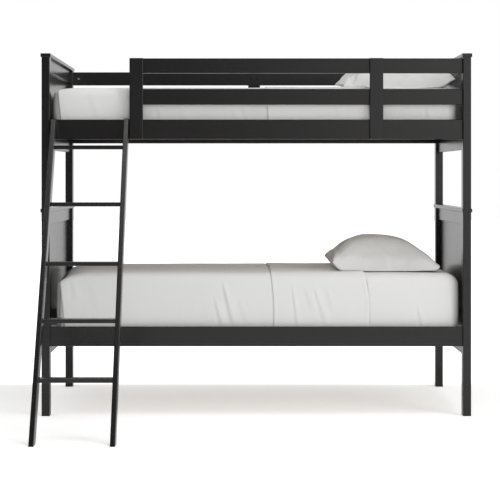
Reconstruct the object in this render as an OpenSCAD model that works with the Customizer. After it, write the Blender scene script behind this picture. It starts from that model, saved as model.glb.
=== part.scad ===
// Twin over twin bunk bed with a leaning ladder.
//
// Two beds stand one on the other. Each end of a bed is a frame: two posts and
// two rails joined by mortise and tenon, round a thin panel held in grooves,
// under a cap board. The long side rails bolt to the posts with barrel nuts and
// carry slats on ledges. Four steel pins locate the upper bed on the lower one.
// The ladder is loose: two steel straps hook it over the upper side rail.
//
// X runs along the bed, Y from the ladder side to the wall side, Z up.
// The origin is on the floor, under the middle of the whole piece.

/* [Bed frame] */
// Length over the outer faces of the posts
bed_length = 1998; // [1960:1:2080]
// Width over the front and back faces of the posts
bed_width = 1060; // [1050:1:1120]
// Post size along the bed
post_x = 38; // [36:1:50]
// Post size across the bed
post_y = 57; // [52:1:76]
// Height of a lower post, under its cap
lower_post_height = 947; // [900:1:1050]
// Height of an upper post, under its cap
upper_post_height = 704; // [700:1:780]
// Rounding of the long edges of posts, rails and steps
ease = 3; // [1:0.5:4]

/* [Ends] */
// Thickness of the cap board over each end
cap_thickness = 18; // [14:1:22]
// How far a cap stands out past the posts
cap_overhang = 4; // [2:1:6]
// Thickness of the rails of an end frame
end_rail_thickness = 22; // [20:1:24]
// Distance from the inner face of a post to the inner face of an end rail
end_rail_inset = 12; // [6:1:12]
// Height of the top rail of an end frame
end_top_height = 62; // [50:1:90]
// Height of the bottom rail of an end frame
end_bottom_height = 92; // [70:1:110]
// Height of the open space under the bottom rail of an end frame
end_bottom_z = 275; // [220:1:300]
// Thickness of the end panel
panel_thickness = 6; // [4:1:8]

/* [Side rails and slats] */
// Thickness of the side rails
rail_thickness = 22; // [20:1:26]
// Height of the side rails
rail_height = 92; // [88:1:110]
// Height of the lower edge of a side rail above the foot of its bed
rail_z = 322.5; // [300:0.5:340]
// Number of slats in each bed
slat_count = 14; // [10:1:16]
// Width of a slat
slat_width = 70; // [50:1:80]
// Thickness of a slat
slat_thickness = 15; // [12:1:18]
// Height of the top of the slats above the lower edge of the side rail
slat_top = 44; // [40:1:46]

/* [Guard rails] */
// Height of the top guard rails
guard_top_height = 70; // [60:1:80]
// Height of the middle guard rail
guard_mid_height = 74; // [60:1:80]
// Thickness of the guard rails
guard_thickness = 20; // [18:1:22]
// Top of the guard rails, below the top of the upper post
guard_drop = 4; // [0:1:20]
// Open space between the side rail and the middle guard rail
guard_lower_gap = 69; // [60:1:75]
// Width of the upright guard boards
board_width = 63; // [50:1:80]
// Thickness of the upright guard boards
board_thickness = 16; // [12:1:16]
// Distance from the bed's middle to the middle of each front guard board
board_x = 559; // [500:1:580]

/* [Ladder] */
// How far the foot of the ladder stands in front of the posts
ladder_reach = 816; // [700:1:900]
// How far the top of the ladder stands in front of the posts
ladder_top_gap = 32; // [25:1:40]
// Width of the ladder over its stiles
ladder_width = 359; // [330:1:365]
// Clear space between the ladder and the left guard board
ladder_board_gap = 2; // [1:0.5:10]
// Thickness of a stile
stile_thickness = 22; // [20:1:26]
// Depth of a stile, square to its length
stile_depth = 64; // [60:1:72]
// Height of the top of the first step
step_first = 261; // [240:1:280]
// Distance between the three lower steps
step_pitch_low = 239; // [220:1:245]
// Distance between the three upper steps
step_pitch_high = 259; // [240:1:262]
// Depth of a step from front to back
step_depth = 58; // [50:1:60]
// Thickness of a step
step_thickness = 18; // [16:1:20]

/* [Bedding] */
// Length of a mattress
mattress_length = 1880; // [1850:1:1900]
// Width of a mattress
mattress_width = 955; // [900:1:960]
// Thickness of the lower mattress
lower_mattress_thickness = 297; // [200:1:300]
// Thickness of the upper mattress
upper_mattress_thickness = 200; // [150:1:210]
// Length of a pillow, across the bed
pillow_length = 660; // [600:1:700]
// Thickness of the lower pillow
lower_pillow_thickness = 162; // [120:1:180]
// Thickness of the upper pillow
upper_pillow_thickness = 150; // [120:1:154]

/* [Hidden] */

black_paint = "#2e2e2d";
pine = "#d8b98a";
bright_steel = "#b9bcc0";
white_cotton = "#ececea";

// Directions: the left and right ends, the front and back sides
left = -1;
right = 1;
front = -1;
back = 1;

// How far a cutting shape runs past the face it cuts
over = 1;

// A bed is its foot height and the height of its posts
lower = [0, lower_post_height];
upper = [lower_post_height + cap_thickness, upper_post_height];

// Main planes of the frame
outer_x = bed_length / 2;
inner_x = outer_x - post_x;
front_y = ladder_reach - (ladder_reach + bed_width + cap_overhang) / 2;
back_y = front_y + bed_width;
mid_y = (front_y + back_y) / 2;
rail_setback = (post_y - rail_thickness) / 2;

// End frames: the tenons run in mortises one millimetre deeper than they are long
tenon_length = 22;
tenon_thickness = 10;
tenon_shoulder = 12;
mortise_spare = 1;
groove_depth = 8;
panel_play = 1;
panel_inset = end_rail_inset + end_rail_thickness / 2 + 1;

// Slats rest on a ledge along each side rail, and both stop clear of the barrel nuts
ledge_width = 22;
ledge_height = 25;
ledge_end_gap = 50;
slat_side_gap = 1.5;
slat_end_gap = 55;
slat_ease = 2;

// Bolts, barrel nuts, pins and dowels
bolt_diameter = 6;
bolt_hole = 7;
bolt_head_diameter = 14;
bolt_head_height = 4;
counterbore_diameter = 16;
counterbore_depth = 7;
hex_socket = 4;
barrel_diameter = 10;
barrel_length = 16;
barrel_sunk = 1;
barrel_bore_depth = 18;
barrel_from_end = 30;
barrel_slot_depth = 1.5;
barrel_slot_width = 1.6;
bolt_past_barrel = 10;
rail_bolt_heights = [26, 66];
fit_gap = 0.1;
pin_diameter = 10;
pin_length = 80;
dowel_diameter = 8;
dowel_length = 20;
dowel_in_cap = 10;
dowel_spacing = 36;

// Guard rails and their boards
guard_top_z = upper[0] + upper[1] - guard_drop;
upper_rail_top = upper[0] + rail_z + rail_height;
guard_mid_z = upper_rail_top + guard_lower_gap;
guard_left_x = -board_x - board_width / 2;
screw_diameter = 4;
screw_head = 8;
screw_head_depth = 3;
guard_screw_length = 31;
guard_screw_spacing = 30;
guard_top_mid = guard_top_z - guard_top_height / 2;
guard_mid_mid = guard_mid_z + guard_mid_height / 2;
side_rail_mid = upper[0] + rail_z + rail_height / 2;

// The ladder leans by the difference between its foot and its top
ladder_lean = atan2(ladder_reach - ladder_top_gap, upper_rail_top);
ladder_right_x = guard_left_x - ladder_board_gap;
ladder_left_x = ladder_right_x - ladder_width;
dado_depth = 6;
step_inset = 4;
step_heights = [
    step_first,
    step_first + step_pitch_low,
    step_first + 2 * step_pitch_low,
    step_first + 2 * step_pitch_low + step_pitch_high,
    step_first + 2 * step_pitch_low + 2 * step_pitch_high
];
step_screw_length = 50;
step_screw_spacing = 32;
hook_thickness = 3;
hook_width = 18;
hook_drop = 32;
hook_rail_gap = 0.6;
hook_bend = 5;
hook_front_inset = 8;
hook_screws = [10, 26];
hook_screw_length = 30;

// Bedding
lower_mattress_x = 8;
upper_mattress_x = -4;
mattress_round = 38;
lay_gap = 0.3;
pillow_seam = 14;
// The crown of a pillow, as shares of its half length along the bed and across it
pillow_crown = [0.78, 0.8];
pillow_crown_shift = -0.08;
lower_pillow_x = [347, 872];
lower_pillow_tips = [48, 24];
lower_pillow_forward = 110;
upper_pillow_x = [378, 948];
upper_pillow_tips = [20, 44];
upper_pillow_forward = 50;

// ---- Helpers ----

// One rounded corner of a section, about the centre c, starting at angle a0
function corner(c, r, a0) = [for (k = [0:3]) c + r * [cos(a0 + 30 * k), sin(a0 + 30 * k)]];

// A rectangular section from p to q with rounded corners
function eased_section(p, q, r) = concat(
    corner([q[0] - r, q[1] - r], r, 0),
    corner([p[0] + r, q[1] - r], r, 90),
    corner([p[0] + r, p[1] + r], r, 180),
    corner([q[0] - r, p[1] + r], r, 270)
);

// A plain block between two opposite corners, given in any order
module block(p, q) {
    low = [for (i = [0:2]) min(p[i], q[i])];
    high = [for (i = [0:2]) max(p[i], q[i])];
    translate(low) cube(high - low);
}

// A board between two opposite corners, with rounded edges along X
module bar_x(p, q, r = ease) {
    low = [min(p[1], q[1]), min(p[2], q[2])];
    high = [max(p[1], q[1]), max(p[2], q[2])];
    translate([min(p[0], q[0]), 0, 0])
        rotate([90, 0, 90])
            linear_extrude(height = abs(q[0] - p[0])) polygon(eased_section(low, high, r));
}

// A board between two opposite corners, with rounded edges along Y
module bar_y(p, q, r = ease) {
    low = [min(p[0], q[0]), min(p[2], q[2])];
    high = [max(p[0], q[0]), max(p[2], q[2])];
    translate([0, max(p[1], q[1]), 0])
        rotate([90, 0, 0])
            linear_extrude(height = abs(q[1] - p[1])) polygon(eased_section(low, high, r));
}

// A board between two opposite corners, with rounded edges along Z
module bar_z(p, q, r = ease) {
    low = [min(p[0], q[0]), min(p[1], q[1])];
    high = [max(p[0], q[0]), max(p[1], q[1])];
    translate([0, 0, min(p[2], q[2])])
        linear_extrude(height = abs(q[2] - p[2])) polygon(eased_section(low, high, r));
}

// A round hole or rod of diameter d from point p, along an axis, for a signed length
module rod_x(p, length, d) {
    translate([min(p[0], p[0] + length), p[1], p[2]])
        rotate([0, 90, 0]) cylinder(h = abs(length), d = d, $fn = 32);
}

module rod_y(p, length, d) {
    translate([p[0], max(p[1], p[1] + length), p[2]])
        rotate([90, 0, 0]) cylinder(h = abs(length), d = d, $fn = 32);
}

module rod_z(p, length, d) {
    translate([p[0], p[1], min(p[2], p[2] + length)]) cylinder(h = abs(length), d = d, $fn = 32);
}

// A countersunk wood screw along +Z, with its flat head at the origin, pointing down
module wood_screw(length) {
    rotate_extrude($fn = 32)
        polygon([
            [0, 0], [screw_head / 2, 0], [screw_diameter / 2, -screw_head_depth],
            [screw_diameter / 2, -length + 2 * screw_diameter], [0, -length]
        ]);
}

// The hole that this screw sits in
module screw_hole(length) {
    r = fit_gap / 2;
    rotate_extrude($fn = 32)
        polygon([
            [0, over], [screw_head / 2 + 2 * r, over], [screw_head / 2 + r, 0],
            [screw_diameter / 2 + r, -screw_head_depth],
            [screw_diameter / 2 + r, -length - over], [0, -length - over]
        ]);
}

// A point at a given distance outside the inner face of a post, at one end
function end_x(end, inset) = end * (inner_x + inset);

// The Y of a side's outer post face, moved towards the middle of the bed
function side_y(side, inset) = side == front ? front_y + inset : back_y - inset;

// The middle of a post
function post_mid(end, side) = [end_x(end, post_x / 2), side_y(side, post_y / 2)];

// Height of the lower edge of each rail of an end frame
function end_bottom(bed) = bed[0] + end_bottom_z;
function end_top(bed) = bed[0] + bed[1] - end_top_height;

// ---- End frames ----

// The mortise for one end rail, cut into the side of a post
module mortise(end, side, z, height) {
    mid = end_rail_inset + end_rail_thickness / 2;
    block(
        [end_x(end, mid - tenon_thickness / 2), side_y(side, post_y + over), z + tenon_shoulder],
        [end_x(end, mid + tenon_thickness / 2), side_y(side, post_y - tenon_length - mortise_spare),
         z + height - tenon_shoulder]
    );
}

// The through hole and counterbore for a bolt in a post
module post_bolt_hole(end, side, z) {
    y = side_y(side, post_y / 2);
    seat = post_x - counterbore_depth;
    rod_x([end_x(end, -over), y, z], end * (post_x + 2 * over), bolt_hole);
    rod_x([end_x(end, seat), y, z], end * (counterbore_depth + over), counterbore_diameter);
}

module post(end, side, bed) {
    mid = post_mid(end, side);
    top = bed[0] + bed[1];
    difference() {
        bar_z([end_x(end, 0), side_y(side, 0), bed[0]],
              [end_x(end, post_x), side_y(side, post_y), top]);
        mortise(end, side, end_bottom(bed), end_bottom_height);
        mortise(end, side, end_top(bed), end_top_height);
        // Groove for the edge of the panel
        block(
            [end_x(end, panel_inset), side_y(side, post_y + over),
             end_bottom(bed) + end_bottom_height - groove_depth],
            [end_x(end, panel_inset + panel_thickness), side_y(side, post_y - groove_depth),
             end_top(bed) + groove_depth]
        );
        for (h = rail_bolt_heights) post_bolt_hole(end, side, bed[0] + rail_z + h);
        if (bed == upper && side == back) post_bolt_hole(end, side, guard_top_mid);
        if (bed == upper && side == front && end == right)
            for (z = [guard_top_mid, guard_mid_mid]) post_bolt_hole(end, side, z);
        // Dowels of the cap
        for (s = [-1, 1])
            rod_z([mid[0], mid[1] + s * dowel_spacing / 2, top + over],
                  dowel_in_cap - dowel_length - 2 * over, dowel_diameter + fit_gap);
        // Stacking pin, standing in the lower post and locating the upper one
        if (bed == lower)
            rod_z([mid[0], mid[1], top + over], cap_thickness - pin_length / 2 - over,
                  pin_diameter + fit_gap);
        if (bed == upper)
            rod_z([mid[0], mid[1], bed[0] - over], pin_length / 2 + 2 * over,
                  pin_diameter + 2 * fit_gap);
    }
}

// One rail of an end frame, with a tenon at each end and a groove for the panel
module end_rail(end, z, height, groove_z) {
    shoulder_front = front_y + post_y;
    shoulder_back = back_y - post_y;
    mid = end_rail_inset + end_rail_thickness / 2;
    difference() {
        bar_y([end_x(end, end_rail_inset), shoulder_front, z],
              [end_x(end, end_rail_inset + end_rail_thickness), shoulder_back, z + height]);
        block([end_x(end, panel_inset), shoulder_front - over, groove_z - groove_depth],
              [end_x(end, panel_inset + panel_thickness), shoulder_back + over,
               groove_z + groove_depth]);
    }
    for (y = [shoulder_front, shoulder_back])
        block(
            [end_x(end, mid - tenon_thickness / 2), y == shoulder_front ? y - tenon_length : y,
             z + tenon_shoulder],
            [end_x(end, mid + tenon_thickness / 2), y == shoulder_front ? y : y + tenon_length,
             z + height - tenon_shoulder]
        );
}

module end_top_rail(end, bed) {
    end_rail(end, end_top(bed), end_top_height, end_top(bed));
}

module end_bottom_rail(end, bed) {
    end_rail(end, end_bottom(bed), end_bottom_height, end_bottom(bed) + end_bottom_height);
}

// The panel stands in the groove of the bottom rail, with room to swell elsewhere
module end_panel(end, bed) {
    held = groove_depth - panel_play;
    block(
        [end_x(end, panel_inset), front_y + post_y - held,
         end_bottom(bed) + end_bottom_height - groove_depth],
        [end_x(end, panel_inset + panel_thickness), back_y - post_y + held, end_top(bed) + held]
    );
}

// The cap board, rounded along all its edges
module cap(end, bed) {
    z = bed[0] + bed[1];
    p = [end_x(end, -cap_overhang), front_y - cap_overhang, z];
    q = [end_x(end, post_x + cap_overhang), back_y + cap_overhang, z + cap_thickness];
    difference() {
        intersection() {
            bar_y(p, q);
            bar_x(p, q);
        }
        for (side = [front, back]) {
            mid = post_mid(end, side);
            for (s = [-1, 1])
                rod_z([mid[0], mid[1] + s * dowel_spacing / 2, z - over], dowel_in_cap + 2 * over,
                      dowel_diameter + fit_gap);
            if (bed == lower)
                rod_z([mid[0], mid[1], z - over], cap_thickness + 2 * over, pin_diameter + fit_gap);
        }
    }
}

// Wooden dowels between the posts and the caps
module cap_dowels(bed) {
    for (end = [left, right], side = [front, back], s = [-1, 1]) {
        mid = post_mid(end, side);
        rod_z([mid[0], mid[1] + s * dowel_spacing / 2, bed[0] + bed[1] + dowel_in_cap],
              -dowel_length, dowel_diameter);
    }
}

// ---- Side rails, slats and fasteners ----

// Bolt hole along a rail from one end, and the cross bore for its barrel nut
module rail_end_holes(end, side, z, inner_face) {
    y = side_y(side, post_y / 2);
    depth = barrel_from_end + bolt_past_barrel + 2 * over;
    rod_x([end * (inner_x + over), y, z], -end * (depth + over), bolt_hole);
    rod_y([end * (inner_x - barrel_from_end), inner_face - side * over, z],
          side * (barrel_bore_depth + over), barrel_diameter + 2 * fit_gap);
}

// Inner faces of the rails, towards the mattress
function rail_inner_y(side) = side_y(side, rail_setback + rail_thickness);
function guard_inner_y(side) = side_y(side, rail_setback + guard_thickness);

module side_rail(side, bed) {
    z = bed[0] + rail_z;
    inner = rail_inner_y(side);
    difference() {
        bar_x([-inner_x, side_y(side, rail_setback), z], [inner_x, inner, z + rail_height]);
        for (end = [left, right], h = rail_bolt_heights) rail_end_holes(end, side, z + h, inner);
        if (bed == upper && side == front)
            for (x = [-board_x, board_x]) guard_screw_holes(x, side, side_rail_mid, inner);
        if (bed == upper && side == back) guard_screw_holes(0, side, side_rail_mid, inner);
    }
}

module slat_ledges(bed) {
    z = bed[0] + rail_z + slat_top - slat_thickness;
    length = inner_x - ledge_end_gap;
    for (side = [front, back])
        block([-length, rail_inner_y(side), z - ledge_height],
              [length, rail_inner_y(side) - side * ledge_width, z]);
}

module slats(bed) {
    z = bed[0] + rail_z + slat_top;
    run = 2 * (inner_x - slat_end_gap) - slat_width;
    for (i = [0:slat_count - 1]) {
        x = -run / 2 + run * i / (slat_count - 1);
        bar_y([x - slat_width / 2, rail_inner_y(front) + slat_side_gap, z - slat_thickness],
              [x + slat_width / 2, rail_inner_y(back) - slat_side_gap, z], slat_ease);
    }
}

// A bolt with a flat head in its counterbore and its tip past the barrel nut
module bolt(end, side, z) {
    y = side_y(side, post_y / 2);
    seat = post_x - counterbore_depth;
    difference() {
        union() {
            rod_x([end_x(end, seat), y, z], end * bolt_head_height, bolt_head_diameter);
            rod_x([end_x(end, seat), y, z], -end * (seat + barrel_from_end + bolt_past_barrel),
                  bolt_diameter);
        }
        translate([end_x(end, seat + bolt_head_height), y, z])
            rotate([0, 90, 0])
                cylinder(h = bolt_head_height, d = hex_socket / cos(30), center = true, $fn = 6);
    }
}

// A barrel nut, with its cross hole and a screwdriver slot in the end that shows
module barrel_nut(end, side, z, inner_face) {
    x = end * (inner_x - barrel_from_end);
    near = inner_face + side * barrel_sunk;
    difference() {
        rod_y([x, near, z], side * barrel_length, barrel_diameter);
        rod_x([x - barrel_diameter, side_y(side, post_y / 2), z], 2 * barrel_diameter,
              bolt_diameter + fit_gap);
        block([x - barrel_diameter, near - side * over, z - barrel_slot_width / 2],
              [x + barrel_diameter, near + side * barrel_slot_depth, z + barrel_slot_width / 2]);
    }
}

module rail_bolts(bed) {
    for (end = [left, right], side = [front, back], h = rail_bolt_heights)
        bolt(end, side, bed[0] + rail_z + h);
}

module rail_barrel_nuts(bed) {
    for (end = [left, right], side = [front, back], h = rail_bolt_heights)
        barrel_nut(end, side, bed[0] + rail_z + h, rail_inner_y(side));
}

module pins() {
    for (end = [left, right], side = [front, back]) {
        mid = post_mid(end, side);
        rod_z([mid[0], mid[1], upper[0] + pin_length / 2], -pin_length, pin_diameter);
    }
}

// ---- Guard rails ----

// The two screws that hold a guard board, seen from the rail's inner face
module guard_screw_places(x, side, z, inner_face) {
    for (s = [-1, 1])
        translate([x + s * guard_screw_spacing / 2, inner_face, z]) rotate([side * 90, 0, 0]) children();
}

module guard_screw_holes(x, side, z, inner_face) {
    guard_screw_places(x, side, z, inner_face) screw_hole(guard_screw_length);
}

module front_guard(z, height) {
    mid = z + height / 2;
    inner = guard_inner_y(front);
    difference() {
        bar_x([guard_left_x, side_y(front, rail_setback), z], [inner_x, inner, z + height]);
        rail_end_holes(right, front, mid, inner);
        for (x = [-board_x, board_x]) guard_screw_holes(x, front, mid, inner);
    }
}

module back_guard() {
    difference() {
        bar_x([-inner_x, side_y(back, rail_setback), guard_top_z - guard_top_height],
              [inner_x, guard_inner_y(back), guard_top_z]);
        for (end = [left, right]) rail_end_holes(end, back, guard_top_mid, guard_inner_y(back));
        guard_screw_holes(0, back, guard_top_mid, guard_inner_y(back));
    }
}

// An upright board on the outer faces of the guard rails and the side rail
module guard_board(x, side, with_mid_rail) {
    difference() {
        bar_z([x - board_width / 2, side_y(side, rail_setback - board_thickness), upper[0] + rail_z],
              [x + board_width / 2, side_y(side, rail_setback), guard_top_z]);
        guard_screw_holes(x, side, side_rail_mid, rail_inner_y(side));
        guard_screw_holes(x, side, guard_top_mid, guard_inner_y(side));
        if (with_mid_rail) guard_screw_holes(x, side, guard_mid_mid, guard_inner_y(side));
    }
}

module all_guard_screws() {
    for (x = [-board_x, board_x]) {
        guard_screw_places(x, front, side_rail_mid, rail_inner_y(front))
            wood_screw(guard_screw_length);
        for (z = [guard_top_mid, guard_mid_mid])
            guard_screw_places(x, front, z, guard_inner_y(front)) wood_screw(guard_screw_length);
    }
    guard_screw_places(0, back, side_rail_mid, rail_inner_y(back)) wood_screw(guard_screw_length);
    guard_screw_places(0, back, guard_top_mid, guard_inner_y(back)) wood_screw(guard_screw_length);
}

// ---- Ladder ----

// The front edge of the ladder at a height
function ladder_front(z) = front_y - ladder_top_gap - (upper_rail_top - z) * tan(ladder_lean);

// The X of a stile's outer face, and the direction from it to the ladder's middle
function stile_x(end) = end == left ? ladder_left_x : ladder_right_x;

// The two screws at one end of a step, driven from the stile's outer face
module step_screw_places(end, z) {
    y = ladder_front(z) + step_inset + step_depth / 2;
    for (s = [-1, 1])
        translate([stile_x(end), y + s * step_screw_spacing / 2, z - step_thickness / 2])
            rotate([0, end * 90, 0]) children();
}

module hook_screw_places() {
    for (end = [left, right], inset = hook_screws)
        translate([stile_x(end) - end * stile_thickness / 2,
                   ladder_front(upper_rail_top) + hook_front_inset + inset,
                   upper_rail_top + hook_thickness]) children();
}

// A stile: a leaning board cut level at the floor and at the rail's top edge,
// and upright where it bears on the outer face of the rail
module stile(end) {
    long = upper_rail_top / cos(ladder_lean) + 2 * stile_depth;
    x = stile_x(end);
    difference() {
        intersection() {
            translate([0, ladder_front(0), 0])
                rotate([-ladder_lean, 0, 0])
                    bar_z([x, 0, -stile_depth], [x - end * stile_thickness, stile_depth, long]);
            block([x, ladder_front(0) - over, 0],
                  [x - end * stile_thickness, side_y(front, rail_setback), upper_rail_top]);
        }
        for (z = step_heights) {
            y = ladder_front(z) + step_inset;
            block([x - end * (stile_thickness - dado_depth), y, z - step_thickness],
                  [x - end * (stile_thickness + over), y + step_depth, z]);
            step_screw_places(end, z) screw_hole(step_screw_length);
        }
        hook_screw_places() screw_hole(hook_screw_length);
    }
}

// A level step, housed at both ends in the stiles
module ladder_step(index) {
    z = step_heights[index];
    y = ladder_front(z) + step_inset;
    housed = stile_thickness - dado_depth;
    difference() {
        bar_x([ladder_left_x + housed, y, z - step_thickness],
              [ladder_right_x - housed, y + step_depth, z]);
        for (end = [left, right]) step_screw_places(end, z) screw_hole(step_screw_length);
    }
}

// A steel strap screwed to the top of a stile, bent down behind the side rail
module hook(end) {
    y0 = ladder_front(upper_rail_top) + hook_front_inset;
    y1 = rail_inner_y(front) + hook_rail_gap;
    inner_bend = hook_bend - hook_thickness;
    centre = [y1 - inner_bend, upper_rail_top - inner_bend];
    low = upper_rail_top - hook_drop;
    outline = concat(
        [[y0, upper_rail_top], [centre[0], upper_rail_top]],
        [for (a = [60, 30]) centre + inner_bend * [cos(a), sin(a)]],
        [[y1, centre[1]], [y1, low], [y1 + hook_thickness, low]],
        [for (a = [0:15:90]) centre + hook_bend * [cos(a), sin(a)]],
        [[y0, upper_rail_top + hook_thickness]]
    );
    mid = stile_x(end) - end * stile_thickness / 2;
    translate([mid - hook_width / 2, 0, 0])
        rotate([90, 0, 90]) linear_extrude(height = hook_width) polygon(outline);
}

// ---- Bedding ----

// A plain block mattress with rounded edges
module mattress(bed, middle, thickness) {
    z = bed[0] + rail_z + slat_top + lay_gap;
    half = [mattress_length / 2 - mattress_round, mattress_width / 2 - mattress_round];
    translate([middle, mid_y, z])
        hull()
            for (sx = [-1, 1], sy = [-1, 1], h = [mattress_round, thickness - lay_gap - mattress_round])
                translate([sx * half[0], sy * half[1], h]) sphere(r = mattress_round, $fn = 24);
}

// A plain pillow: a domed cushion between two seams at different heights
module pillow(bed, mattress_thickness, span, tips, thickness, forward) {
    z = bed[0] + rail_z + slat_top + mattress_thickness + lay_gap;
    middle = (span[0] + span[1]) / 2;
    half_x = (span[1] - span[0]) / 2;
    half_y = pillow_length / 2;
    translate([middle, mid_y - forward, z])
        hull() {
            for (i = [0, 1], sy = [-1, 1])
                translate([(2 * i - 1) * (half_x - pillow_seam), sy * (half_y - pillow_seam), tips[i]])
                    sphere(r = pillow_seam, $fn = 16);
            translate([half_x * pillow_crown_shift, 0, thickness / 2])
                scale([half_x * pillow_crown[0], half_y * pillow_crown[1], thickness / 2])
                    sphere(r = 1, $fn = 32);
        }
}

// ---- Sub-parts ----

module lower_post_front_left() { color(black_paint) post(left, front, lower); }
module lower_post_back_left() { color(black_paint) post(left, back, lower); }
module lower_post_front_right() { color(black_paint) post(right, front, lower); }
module lower_post_back_right() { color(black_paint) post(right, back, lower); }
module lower_cap_left() { color(black_paint) cap(left, lower); }
module lower_cap_right() { color(black_paint) cap(right, lower); }
module lower_cap_dowels() { color(pine) cap_dowels(lower); }
module lower_end_top_rail_left() { color(black_paint) end_top_rail(left, lower); }
module lower_end_top_rail_right() { color(black_paint) end_top_rail(right, lower); }
module lower_end_bottom_rail_left() { color(black_paint) end_bottom_rail(left, lower); }
module lower_end_bottom_rail_right() { color(black_paint) end_bottom_rail(right, lower); }
module lower_end_panel_left() { color(black_paint) end_panel(left, lower); }
module lower_end_panel_right() { color(black_paint) end_panel(right, lower); }
module lower_side_rail_front() { color(black_paint) side_rail(front, lower); }
module lower_side_rail_back() { color(black_paint) side_rail(back, lower); }
module lower_slat_ledges() { color(black_paint) slat_ledges(lower); }
module lower_slats() { color(pine) slats(lower); }
module lower_bolts() { color(bright_steel) rail_bolts(lower); }
module lower_barrel_nuts() { color(bright_steel) rail_barrel_nuts(lower); }
module stacking_pins() { color(bright_steel) pins(); }

module upper_post_front_left() { color(black_paint) post(left, front, upper); }
module upper_post_back_left() { color(black_paint) post(left, back, upper); }
module upper_post_front_right() { color(black_paint) post(right, front, upper); }
module upper_post_back_right() { color(black_paint) post(right, back, upper); }
module upper_cap_left() { color(black_paint) cap(left, upper); }
module upper_cap_right() { color(black_paint) cap(right, upper); }
module upper_cap_dowels() { color(pine) cap_dowels(upper); }
module upper_end_top_rail_left() { color(black_paint) end_top_rail(left, upper); }
module upper_end_top_rail_right() { color(black_paint) end_top_rail(right, upper); }
module upper_end_bottom_rail_left() { color(black_paint) end_bottom_rail(left, upper); }
module upper_end_bottom_rail_right() { color(black_paint) end_bottom_rail(right, upper); }
module upper_end_panel_left() { color(black_paint) end_panel(left, upper); }
module upper_end_panel_right() { color(black_paint) end_panel(right, upper); }
module upper_side_rail_front() { color(black_paint) side_rail(front, upper); }
module upper_side_rail_back() { color(black_paint) side_rail(back, upper); }
module upper_slat_ledges() { color(black_paint) slat_ledges(upper); }
module upper_slats() { color(pine) slats(upper); }

module upper_bolts() {
    color(bright_steel) {
        rail_bolts(upper);
        bolt(right, front, guard_top_mid);
        bolt(right, front, guard_mid_mid);
        for (end = [left, right]) bolt(end, back, guard_top_mid);
    }
}

module upper_barrel_nuts() {
    color(bright_steel) {
        rail_barrel_nuts(upper);
        barrel_nut(right, front, guard_top_mid, guard_inner_y(front));
        barrel_nut(right, front, guard_mid_mid, guard_inner_y(front));
        for (end = [left, right]) barrel_nut(end, back, guard_top_mid, guard_inner_y(back));
    }
}

module guard_top_rail() {
    color(black_paint) front_guard(guard_top_z - guard_top_height, guard_top_height);
}

module guard_mid_rail() { color(black_paint) front_guard(guard_mid_z, guard_mid_height); }
module guard_board_left() { color(black_paint) guard_board(-board_x, front, true); }
module guard_board_right() { color(black_paint) guard_board(board_x, front, true); }
module guard_rail_back() { color(black_paint) back_guard(); }
module guard_board_back() { color(black_paint) guard_board(0, back, false); }
module guard_screws() { color(bright_steel) all_guard_screws(); }

module ladder_stile_left() { color(black_paint) stile(left); }
module ladder_stile_right() { color(black_paint) stile(right); }
module ladder_step_1() { color(black_paint) ladder_step(0); }
module ladder_step_2() { color(black_paint) ladder_step(1); }
module ladder_step_3() { color(black_paint) ladder_step(2); }
module ladder_step_4() { color(black_paint) ladder_step(3); }
module ladder_step_5() { color(black_paint) ladder_step(4); }

module ladder_hooks() {
    color(bright_steel)
        difference() {
            for (end = [left, right]) hook(end);
            hook_screw_places() screw_hole(hook_screw_length);
        }
}

module ladder_screws() {
    color(bright_steel) {
        for (end = [left, right], z = step_heights)
            step_screw_places(end, z) wood_screw(step_screw_length);
        hook_screw_places() wood_screw(hook_screw_length);
    }
}

module lower_mattress() {
    color(white_cotton) mattress(lower, lower_mattress_x, lower_mattress_thickness);
}

module upper_mattress() {
    color(white_cotton) mattress(upper, upper_mattress_x, upper_mattress_thickness);
}

module lower_pillow() {
    color(white_cotton)
        pillow(lower, lower_mattress_thickness, lower_pillow_x, lower_pillow_tips,
               lower_pillow_thickness, lower_pillow_forward);
}

module upper_pillow() {
    color(white_cotton)
        pillow(upper, upper_mattress_thickness, upper_pillow_x, upper_pillow_tips,
               upper_pillow_thickness, upper_pillow_forward);
}

lower_post_front_left();
lower_post_back_left();
lower_post_front_right();
lower_post_back_right();
lower_cap_left();
lower_cap_right();
lower_cap_dowels();
lower_end_top_rail_left();
lower_end_top_rail_right();
lower_end_bottom_rail_left();
lower_end_bottom_rail_right();
lower_end_panel_left();
lower_end_panel_right();
lower_side_rail_front();
lower_side_rail_back();
lower_slat_ledges();
lower_slats();
lower_bolts();
lower_barrel_nuts();
stacking_pins();
upper_post_front_left();
upper_post_back_left();
upper_post_front_right();
upper_post_back_right();
upper_cap_left();
upper_cap_right();
upper_cap_dowels();
upper_end_top_rail_left();
upper_end_top_rail_right();
upper_end_bottom_rail_left();
upper_end_bottom_rail_right();
upper_end_panel_left();
upper_end_panel_right();
upper_side_rail_front();
upper_side_rail_back();
upper_slat_ledges();
upper_slats();
upper_bolts();
upper_barrel_nuts();
guard_top_rail();
guard_mid_rail();
guard_board_left();
guard_board_right();
guard_rail_back();
guard_board_back();
guard_screws();
ladder_stile_left();
ladder_stile_right();
ladder_step_1();
ladder_step_2();
ladder_step_3();
ladder_step_4();
ladder_step_5();
ladder_hooks();
ladder_screws();
lower_mattress();
upper_mattress();
lower_pillow();
upper_pillow();
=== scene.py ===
# %% [markdown]
# # A twin over twin bunk bed with a leaning ladder
# The real piece is a flat-pack bed: painted pine posts, rails and panels bolted together, two decks
# of bare slats, two dressed mattresses, two pillows and a loose ladder that hooks over the upper rail.
# The woodwork is exact already, so it comes in as a fixed frame and only gets its paint here.
# What a saw and a drill can't make, the cotton sheets and the pillows, is made in this lesson.

# %% Load the frame
import math

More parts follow.
